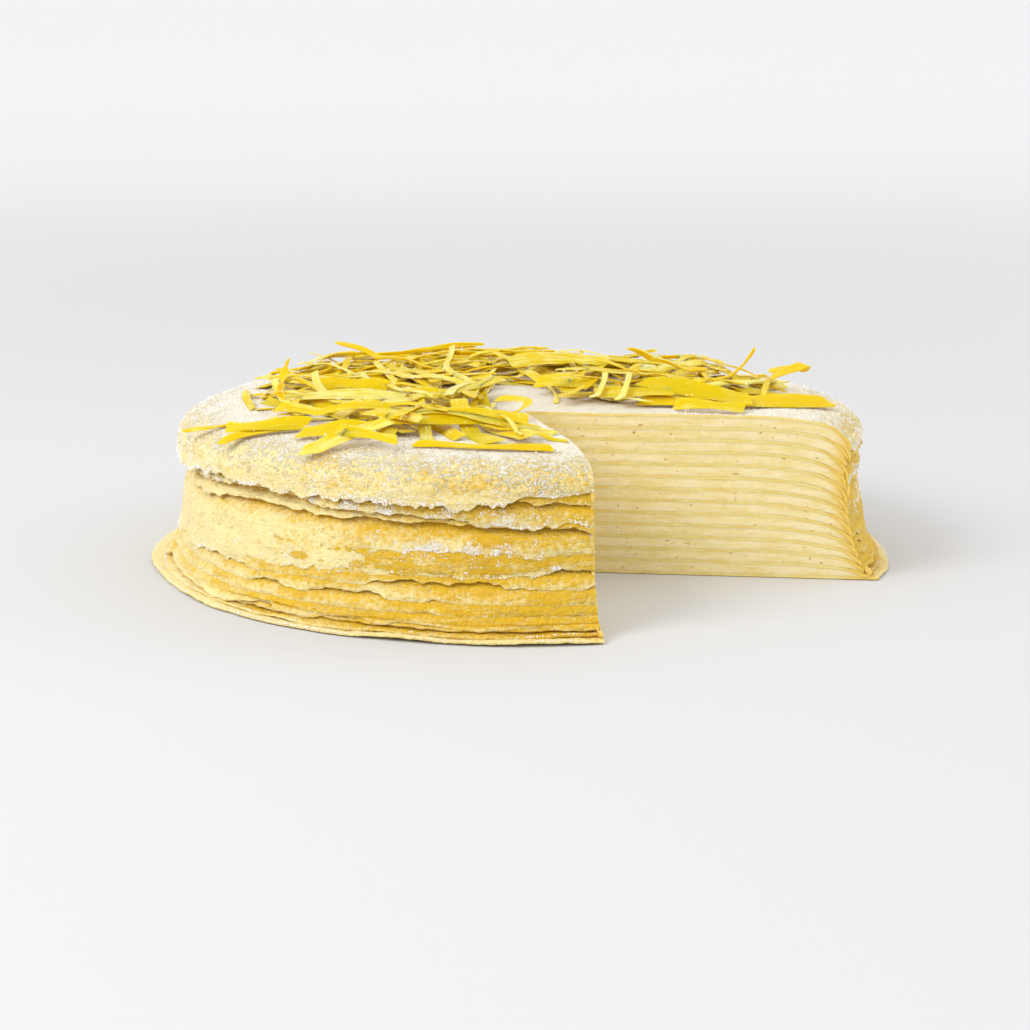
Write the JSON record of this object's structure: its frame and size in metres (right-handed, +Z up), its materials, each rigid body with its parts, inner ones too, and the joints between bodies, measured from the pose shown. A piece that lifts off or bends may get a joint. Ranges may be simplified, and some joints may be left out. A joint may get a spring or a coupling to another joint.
{
  "type": "crepe cake",
  "caption": "Round stack of thin crepes and pastry cream with a wedge cut out, its soft rims hanging down the side, dusted with sugar and topped with strips of citrus peel.",
  "frame": {"origin": "middle of the round underside, on the surface that the cake stands on", "axes": "+Z up, away from the flat underside; the missing slice opens towards +X and -Y"},
  "size_m": [0.252, 0.2516, 0.0711],
  "materials": {
    "crepe": "soft, matt, faintly browned pancake, dusted with sugar on top",
    "cream": "set pastry cream, soft sheen",
    "peel": "candied citrus peel, moist"
  },
  "bodies": {
    "root": {"crepe_01": "crepe", "crepe_02": "crepe", "crepe_03": "crepe", "crepe_04": "crepe", "crepe_05": "crepe", "crepe_06": "crepe", "crepe_07": "crepe", "crepe_08": "crepe", "crepe_09": "crepe", "crepe_10": "crepe", "crepe_11": "crepe", "crepe_12": "crepe", "crepe_13": "crepe", "crepe_14": "crepe", "cream_01": "cream", "cream_02": "cream", "cream_03": "cream", "cream_04": "cream", "cream_05": "cream", "cream_06": "cream", "cream_07": "cream", "cream_08": "cream", "cream_09": "cream", "cream_10": "cream", "cream_11": "cream", "cream_12": "cream", "cream_13": "cream", "peel_heap": "peel", "peel_stub": "peel", "peel_rising_left": "peel", "peel_over_shoulder": "peel", "peel_far_left": "peel", "peel_crossed_one": "peel", "peel_crossed_two": "peel", "peel_thin_upright": "peel", "peel_curl": "peel", "peel_front": "peel", "peel_far_ribbon": "peel"}
  },
  "joints": []
}
